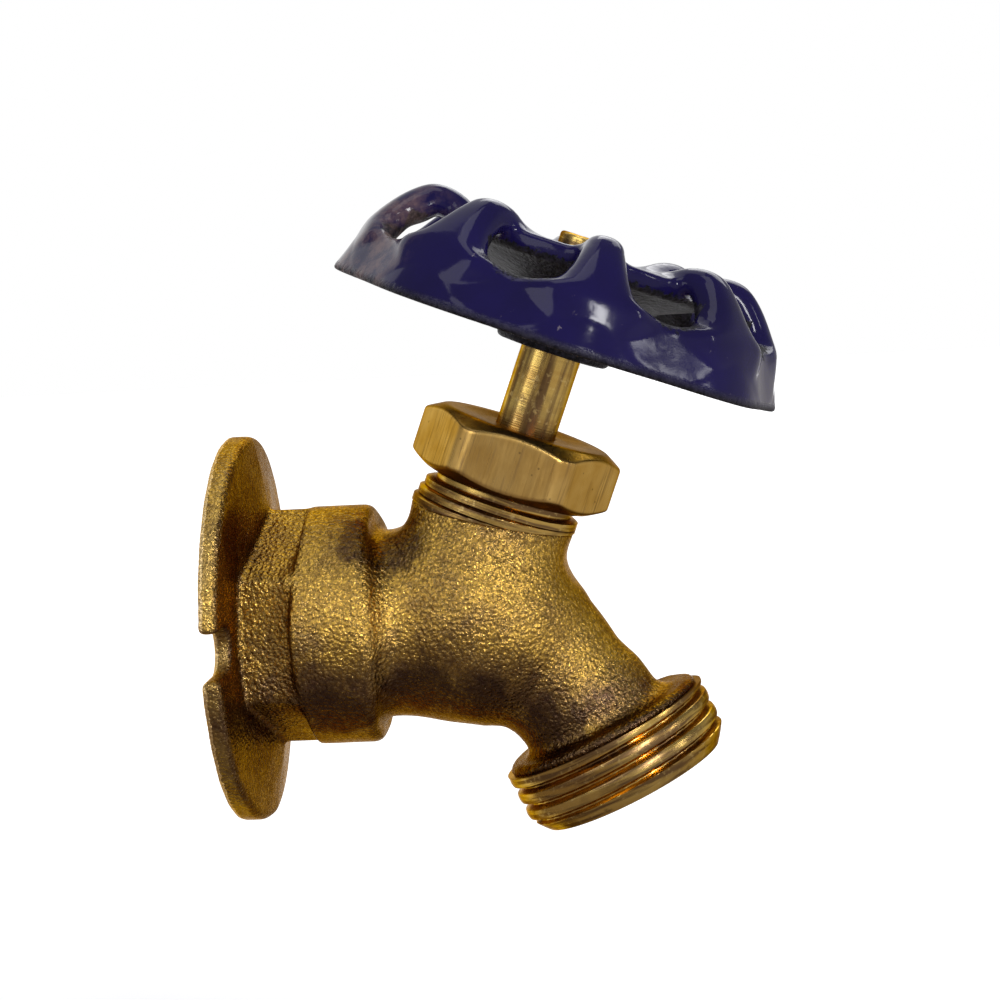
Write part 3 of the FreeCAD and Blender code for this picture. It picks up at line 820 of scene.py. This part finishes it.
def cast_brass():
    """Sand-cast brass: grains that glint, brown patina in patches, painted shade underneath and above the
    hose thread, and a bright turned edge at the wall with a painted highlight.
    """
    look = Look("cast_brass")
    x, facing = look.split(look.place)["X"], look.split(look.normal)
    grain = look.noise(2700, 2, 0.6)
    coarse = look.noise(1400, 2, 0.5)
    pits = look.cells(2100)
    patches = look.noise(75, 4, 0.62)
    mottle = look.noise(420, 3, 0.65)
    rim = look.noise(260, 3, 0.6)
    tone = look.mix(look.span(look.plus(patches, look.times(mottle, 0.35)), 0.5, 0.78), PATINA_AND_SHADE, CAST)

    # painted shade underneath, in the patina's colour, and a darker flange front
    under = look.times(look.span(facing["Z"], -0.15, -0.55), look.span(facing["Z"], -0.97, -0.8))
    under = look.times(under, look.span(look.noise(120, 3, 0.6), 0.25, 0.6, 0.45, 0.85))
    tone = look.mix(under, tone, PATINA_AND_SHADE)
    face = look.times(look.span(x, 0.0055, 0.0042), look.span(facing["X"], 0.3, 0.7))
    face = look.times(face, look.span(look.noise(240, 3, 0.6), 0.3, 0.6, 0.25, 0.7))
    tone = look.mix(face, tone, PATINA_AND_SHADE)

    # grains, pits, stains and painted shade in the corner above the hose thread
    tone = look.mix(look.span(grain, 0.54, 0.7, 0.0, 0.3), tone, PALE)
    tone = look.mix(look.span(pits, 0.35, 0.6, 0.0, 0.45), tone, DEEP)
    out = look.split(look.along(look.OUTLET))["Z"]
    stain_and_shade = look.times(look.span(out, (0.4 - COLLAR_S) * MM, (-0.5 - COLLAR_S) * MM), 0.8)
    for place in STAINS:
        stain_and_shade = look.most(look.spot(place, look.span(coarse, 0.3, 0.7, 0.6, 0.95), rim), stain_and_shade)
    tone = look.mix(stain_and_shade, tone, DEEP)

    # yellower patches on the flange's rim side, and its bare edge at the wall painted bright as a highlight
    side = look.times(look.below(x, 0.0022), look.span(facing["X"], 0.5, 0.3))
    tone = look.mix(look.times(side, look.span(rim, 0.35, 0.6, 0.0, 0.25)), tone, YELLOW)
    edge = look.below(look.plus(x, look.span(coarse, 0.3, 0.7, -0.00015, 0.00015)), 0.0006)
    tone = look.mix(edge, tone, WALL_EDGE_HIGHLIGHT)

    height = look.plus(look.plus(grain, look.times(pits, -0.6)), look.times(coarse, 0.5))
    return look.finish(tone, look.span(grain, 0.35, 0.7, 0.34, 0.18), look.bump(height, 1.0, 0.00019))


def turned_brass(name, axis, streaked=False):
    """Bright turned brass with fine rings and brown stains, on a rod also with streaks along it."""
    look = Look(name)
    fine = look.noise(1.0, 3, 0.6, look.along(axis, 90, 7000))
    wide = look.noise(1.0, 2, 0.5, look.along(axis, 60, 650))
    stretch = (950, 40) if streaked else (110, 1500)
    streaks = look.noise(1.0, 3, 0.55, look.along(axis, *stretch))
    tone = look.mix(look.span(wide, 0.35, 0.65), CLEAN, YELLOW)
    tone = look.mix(look.span(streaks, 0.44, 0.58, 0.0, 0.85), tone, PATINA_AND_SHADE)
    tone = look.mix(look.span(look.noise(150, 3, 0.6), 0.5, 0.72, 0.0, 0.7), tone, PATINA_AND_SHADE)
    tone = look.mix(look.span(look.noise(420, 3, 0.65), 0.62, 0.75, 0.0, 0.7), tone, DEEP)
    tone = look.mix(look.span(look.noise(1500, 2, 0.6), 0.58, 0.68, 0.0, 0.5), tone, PALE)
    return look.finish(tone, look.span(streaks, 0.3, 0.7, 0.16, 0.36), look.bump(fine, 0.35, 0.00005))


def nut_brass():
    """Drawn brass bar with tool marks along the flats, and painted shade on top and underneath."""
    look = Look("nut_brass")
    marks = look.noise(1.0, 3, 0.65, look.along(look.SPINDLE, 2600, 150))
    streaks = look.noise(1.0, 2, 0.5, look.along(look.SPINDLE, 420, 60))
    wide = look.noise(190, 3, 0.6)
    tone = look.mix(look.span(wide, 0.35, 0.65), NUT_DARK, NUT_LIGHT)
    worn = look.times(look.span(marks, 0.46, 0.66), look.span(streaks, 0.46, 0.62))
    tone = look.mix(look.times(worn, 0.75), tone, PATINA_AND_SHADE)
    tone = look.mix(look.span(look.cells(520), 0.09, 0.05, 0.0, 0.5), tone, DEEP)
    # painted shade: darker on the top face and on faces turned down
    up = look.split(look.along(look.SPINDLE))["Z"]
    facing = look.split(look.normal)["Z"]
    top = look.times(look.span(up, (NUT_TOP - 2.2) * MM, (NUT_TOP - 0.6) * MM), look.span(facing, 0.55, 0.8))
    top = look.times(top, look.span(wide, 0.3, 0.6, 0.95, 0.6))
    low = look.times(look.span(facing, -0.4, -0.7), 0.8)
    tone = look.mix(look.most(top, low), tone, NUT_SHADE)
    return look.finish(tone, look.span(marks, 0.3, 0.7, 0.26, 0.4), look.bump(marks, 0.35, 0.00007))


def blue_enamel():
    """Glossy navy enamel with orange peel, rough black painted shade in the windows and underneath, and a
    painted reflection at the left end.
    """
    look = Look("blue_enamel")
    peel = look.noise(260, 2, 0.5)
    fine = look.noise(1100, 2, 0.5)
    tint = look.noise(70, 3, 0.55)
    grit = look.noise(1500, 3, 0.6)
    space = look.wheel_space()
    h, r = look.split(space)["Z"], look.radius(space)
    ragged = look.span(grit, 0.3, 0.7, -0.0004, 0.0004)

    # painted shade in rough black: inside a radius below a height, on the sills and at the skirt's foot
    low = look.span(look.plus(h, ragged), BLACK_TOP * MM, (BLACK_TOP - 0.3) * MM)
    black = look.times(look.below(r, BLACK_R * MM), low)
    sill_r = RIM_R - SILL_INSET
    sill = look.span(look.plus(r, ragged), sill_r * MM, (sill_r - 0.5) * MM)
    sill = look.times(sill, look.span(h, (SKIRT_TOP + 1.0) * MM, (SKIRT_TOP + 0.5) * MM))
    black = look.most(look.most(black, sill), look.span(h, 0.9 * MM, -0.2 * MM))

    tone = look.mix(look.span(tint, 0.3, 0.7), NAVY_DARK, NAVY_LIGHT)
    tone = look.mix(black, tone, look.mix(look.span(grit, 0.4, 0.65), SHADE_DARK, SHADE_LIGHT))
    chips = look.times(look.span(look.noise(700, 3, 0.7), 0.69, 0.73), look.span(tint, 0.5, 0.62))
    tone = look.mix(look.times(chips, 0.6), tone, CHIP)
    # painted reflection of the bright backdrop on the wheel's left end
    reflection_mask = look.spot(PAINTED_REFLECTION_SPOT, look.span(look.noise(330, 4, 0.7), 0.42, 0.66, 0.0, 0.45))
    tone = look.mix(reflection_mask, tone, PAINTED_REFLECTION)

    smooth = look.bump(fine, 0.12, 0.00005, look.bump(peel, 0.12, 0.0004))
    normal = look.blend_normal(black, smooth, look.bump(grit, 0.9, 0.0004))
    rough = look.plus(look.span(tint, 0.3, 0.7, 0.08, 0.13), look.times(black, 0.45))
    look.shader.inputs["Specular IOR Level"].default_value = 0.2
    return look.finish(tone, rough, normal, metallic=0.0)


def black_rubber():
    """Matte black rubber with a fine grain."""
    look = Look("black_rubber")
    grain = look.noise(1800, 2, 0.5)
    tone = look.mix(look.span(grain, 0.35, 0.65), RUBBER_DARK, RUBBER_LIGHT)
    return look.finish(tone, 0.65, look.bump(grain, 0.3, 0.0001), metallic=0.0)


def build():
    """Make the pieces that stand for CAD nodes and the turned ends, and give the CAD nodes that stay their
    looks.
    """
    cast = cast_brass()
    spindle_brass = turned_brass("turned_brass_spindle", Look.SPINDLE)
    rod_brass = turned_brass("turned_brass_rod", Look.SPINDLE, streaked=True)
    outlet_brass = turned_brass("turned_brass_outlet", Look.OUTLET)
    rubber = black_rubber()
    from_field("valve_casting", casting, "body", STEP_BODY, "valve", cast)
    from_field("wheel_casting", wheel, "handwheel", STEP_WHEEL, "spindle", blue_enamel())
    from_field("nut_on_neck", nut, "packing_nut", STEP_FINE, "valve", nut_brass())
    from_field("wheel_screw", screw, "handle_screw", STEP_FINE, "spindle", spindle_brass)
    hose_thread(outlet_brass)
    neck_rings(spindle_brass)
    pipe_thread(outlet_brass)

    kept = {"stem": rod_brass, "seat_screw": spindle_brass, "packing_washer": spindle_brass,
            "gland": spindle_brass, "seat_washer": rubber, "stem_packing": rubber}
    for node, material in kept.items():
        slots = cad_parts[node].data.materials
        slots.clear()
        slots.append(material)


def lamp(name, turn, rise, distance, size, power):
    """Soft rectangular lamp that points at the tap."""
    light = bpy.data.lights.new(name, "AREA")
    light.shape = "RECTANGLE"
    light.size, light.size_y = size
    light.energy = power
    turn, rise = math.radians(turn), math.radians(rise)
    away = Vector((math.sin(turn) * math.cos(rise), -math.cos(turn) * math.cos(rise), math.sin(rise)))
    holder = bpy.data.objects.new(name, light)
    holder.location = Vector(MIDDLE) + distance * away
    holder.rotation_mode = "QUATERNION"
    holder.rotation_quaternion = away.to_track_quat("Z", "Y")
    bpy.context.collection.objects.link(holder)


def stage_object(name, points, quads):
    """Object of the studio that is not a piece of the tap."""
    mesh = bpy.data.meshes.new(name)
    mesh.from_pydata(points, [], quads)
    thing = bpy.data.objects.new(name, mesh)
    bpy.context.collection.objects.link(thing)
    return thing


def dark_tent():
    """Dim shell in front and on the right that only reflections see, lightest above the horizon."""
    rows, cols = 24, 48
    points, quads = [], []
    for i in range(rows + 1):
        rise = math.pi * (i / rows - 0.5)
        flat, height = TENT_R * math.cos(rise), max(TENT_R * math.sin(rise), FLOOR + TENT_LIFT)
        for j in range(cols + 1):
            turn = math.pi * (TENT_FROM + (TENT_TO - TENT_FROM) * j / cols) / 180
            points.append((flat * math.sin(turn), -flat * math.cos(turn), height))
    for i in range(rows):
        for j in range(cols):
            a = i * (cols + 1) + j
            quads.append((a, a + 1, a + cols + 2, a + cols + 1))
    tent = stage_object("tent", points, quads)
    tent.visible_camera = False
    tent.visible_diffuse = False
    tent.visible_shadow = False
    tent.visible_volume_scatter = False
    look = Look("tent")
    place = look.split(look.place)
    wall = look.ramp(look.span(place["Z"], FLOOR, TENT_R), TENT_TONES)
    low_right = look.times(look.span(place["X"], 0.05, 0.26), look.span(place["Z"], 0.02, FLOOR + 0.03))
    glow = look.nodes.new("ShaderNodeEmission")
    look.feed(look.mix(low_right, wall, TENT_LOW_RIGHT), glow.inputs["Color"])
    look.feed(glow.outputs[0], look.nodes["Material Output"].inputs["Surface"])
    tent.data.materials.append(look.material)


def pale_floor():
    """Plain pale floor below the tap, which camera and reflections see white away from the middle."""
    corners = [(-1, -1), (1, -1), (1, 1), (-1, 1)]
    points = [(FLOOR_HALF * x, FLOOR_HALF * y, FLOOR) for x, y in corners]
    floor = stage_object("floor", points, [(0, 1, 2, 3)])
    look = Look("pale_floor")
    tone = look.mix(look.span(look.noise(3, 2, 0.5), 0.3, 0.7), FLOOR_DARK, FLOOR_LIGHT)
    look.finish(tone, 0.8, metallic=0.0)
    glow = look.nodes.new("ShaderNodeEmission")
    path = look.nodes.new("ShaderNodeLightPath")
    seen = look.most(path.outputs["Is Camera Ray"], path.outputs["Is Glossy Ray"])
    seen = look.most(seen, path.outputs["Is Transmission Ray"])
    away = look.span(look.radius(look.place), 0.12, 0.5, 0.2, 1.0)
    look.feed(look.times(seen, away), glow.inputs["Strength"])
    both = look.nodes.new("ShaderNodeAddShader")
    look.feed(look.shader.outputs[0], both.inputs[0])
    look.feed(glow.outputs[0], both.inputs[1])
    look.feed(both.outputs[0], look.nodes["Material Output"].inputs["Surface"])
    floor.data.materials.append(look.material)


def backdrop():
    """World that camera, reflections and transmission see white, and that lights the rest dimly."""
    world = bpy.data.worlds.new("studio")
    bpy.context.scene.world = world
    world.use_nodes = True
    nodes, links = world.node_tree.nodes, world.node_tree.links
    nodes.clear()
    out = nodes.new("ShaderNodeOutputWorld")
    room = nodes.new("ShaderNodeBackground")
    room.inputs["Color"].default_value = ROOM_TONE
    room.inputs["Strength"].default_value = ROOM_STRENGTH
    white = nodes.new("ShaderNodeBackground")
    white.inputs["Color"].default_value = (1, 1, 1, 1)
    path = nodes.new("ShaderNodeLightPath")
    seen = path.outputs["Is Camera Ray"]
    for kind in ("Is Glossy Ray", "Is Transmission Ray"):
        either = nodes.new("ShaderNodeMath")
        either.operation = "MAXIMUM"
        links.new(seen, either.inputs[0])
        links.new(path.outputs[kind], either.inputs[1])
        seen = either.outputs[0]
    mix = nodes.new("ShaderNodeMixShader")
    links.new(seen, mix.inputs["Fac"])
    links.new(room.outputs[0], mix.inputs[1])
    links.new(white.outputs[0], mix.inputs[2])
    links.new(mix.outputs[0], out.inputs["Surface"])


def studio():
    """White backdrop, soft lamps, a tent for the reflections and a pale floor."""
    bpy.context.scene.view_settings.view_transform = "Standard"
    backdrop()
    for row in LAMPS:
        lamp(*row)
    dark_tent()
    pale_floor()


def camera():
    """Camera at the photograph's viewing angle, rolled about its line of sight."""
    cam = bpy.data.cameras.new("camera")
    cam.sensor_width = SENSOR
    cam.lens = FOCAL * SENSOR
    holder = bpy.data.objects.new("camera", cam)
    level = math.cos(PITCH)
    forward = Vector((-math.sin(YAW) * level, math.cos(YAW) * level, -math.sin(PITCH)))
    right = Vector((math.cos(YAW), math.sin(YAW), 0))
    up = right.cross(forward)
    across = math.cos(ROLL) * right + math.sin(ROLL) * up
    tall = -math.sin(ROLL) * right + math.cos(ROLL) * up
    matrix = Matrix((across, tall, -forward)).transposed().to_4x4()
    matrix.translation = Vector(CAMERA) * MM
    holder.matrix_world = matrix
    bpy.context.collection.objects.link(holder)
    bpy.context.scene.camera = holder


build()
studio()
camera()
